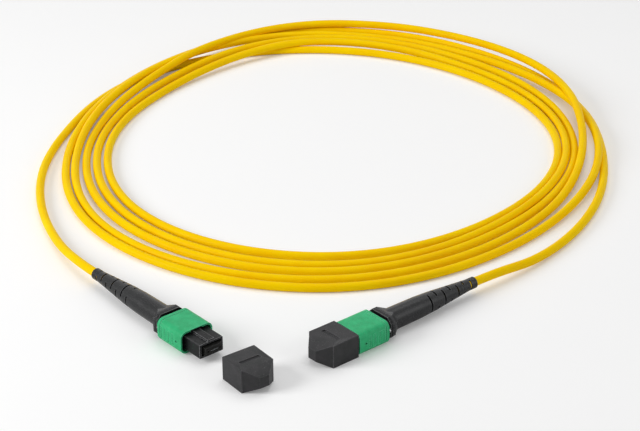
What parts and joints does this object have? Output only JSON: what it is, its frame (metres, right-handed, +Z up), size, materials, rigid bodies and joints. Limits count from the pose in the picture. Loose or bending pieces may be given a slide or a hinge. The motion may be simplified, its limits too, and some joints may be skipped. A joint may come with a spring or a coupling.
{
  "type": "mpo fibre connector on a patch lead",
  "caption": "Multi-fibre push-on connector with sprung green sleeve, angled ferrule, slit black boot and loose cap, on a coiled yellow cable to a capped twin.",
  "frame": {"origin": "middle of the open connector's ferrule end face", "axes": "+X is the way the open connector mates, +Z is up from the surface the lead lies on, towards the connector's key; +Y completes a right-handed frame"},
  "size_m": [0.2288, 0.2363, 0.008],
  "materials": {
    "housing_plastic": "moulded, faint satin",
    "sleeve_plastic": "moulded, satin",
    "ferrule_resin": "polished end face",
    "soft_rubber": "soft matte",
    "keeper_steel": "stamped",
    "spring_wire": "bright drawn wire",
    "aramid_yarn": "loose yarn",
    "crimp_metal": "drawn, satin",
    "ribbon_coating": "clear matrix over coloured fibres",
    "cable_jacket": "extruded, satin",
    "boot_rubber": "moulded, satin",
    "cap_plastic": "fine-grained"
  },
  "bodies": {
    "lead": {"front_housing_a": "housing_plastic", "back_post_a": "housing_plastic", "strength_yarn_a": "aramid_yarn", "crimp_ring_a": "crimp_metal", "cable_end_a": "cable_jacket", "boot_a": "boot_rubber", "ferrule_spring_a": "spring_wire", "coupling_springs_a": "spring_wire", "front_housing_b": "housing_plastic", "back_post_b": "housing_plastic", "strength_yarn_b": "aramid_yarn", "crimp_ring_b": "crimp_metal", "cable_end_b": "cable_jacket", "boot_b": "boot_rubber", "ferrule_spring_b": "spring_wire", "coupling_springs_b": "spring_wire", "dust_cap_a": "cap_plastic", "lead_a": "cable_jacket", "lead_b": "cable_jacket", "cord_coil": "cable_jacket"},
    "sleeve_a": {"coupling_sleeve_a": "sleeve_plastic"},
    "ferrule_unit_a": {"ferrule_a": "ferrule_resin", "ferrule_boot_a": "soft_rubber", "pin_keeper_a": "keeper_steel", "fibre_ribbon_a": "ribbon_coating"},
    "sleeve_b": {"coupling_sleeve_b": "sleeve_plastic"},
    "ferrule_unit_b": {"ferrule_b": "ferrule_resin", "ferrule_boot_b": "soft_rubber", "pin_keeper_b": "keeper_steel", "fibre_ribbon_b": "ribbon_coating"},
    "cap_b": {"dust_cap_b": "cap_plastic"}
  },
  "joints": [
    {"name": "sleeve_a_slide", "type": "slide", "parent": "lead", "child": "sleeve_a", "axis": [1, 0, 0], "range_m": [-0.0012, 0], "stiffness_N_per_m": 1000, "springref_m": 0.002, "deforming": ["coupling_springs_a"]},
    {"name": "ferrule_a_float", "type": "slide", "parent": "lead", "child": "ferrule_unit_a", "axis": [1, 0, 0], "range_m": [-0.0008, 0], "stiffness_N_per_m": 1000, "springref_m": 0.004, "deforming": ["ferrule_spring_a"]},
    {"name": "sleeve_b_slide", "type": "slide", "parent": "lead", "child": "sleeve_b", "axis": [0, -1, 0], "range_m": [-0.0012, 0], "stiffness_N_per_m": 1000, "springref_m": 0.002, "deforming": ["coupling_springs_b"]},
    {"name": "ferrule_b_float", "type": "slide", "parent": "lead", "child": "ferrule_unit_b", "axis": [0, -1, 0], "range_m": [-0.0008, 0], "stiffness_N_per_m": 1000, "springref_m": 0.004, "deforming": ["ferrule_spring_b"]},
    {"name": "cap_b_pull", "type": "slide", "parent": "lead", "child": "cap_b", "axis": [0, -1, 0], "range_m": [0, 0.01]}
  ]
}
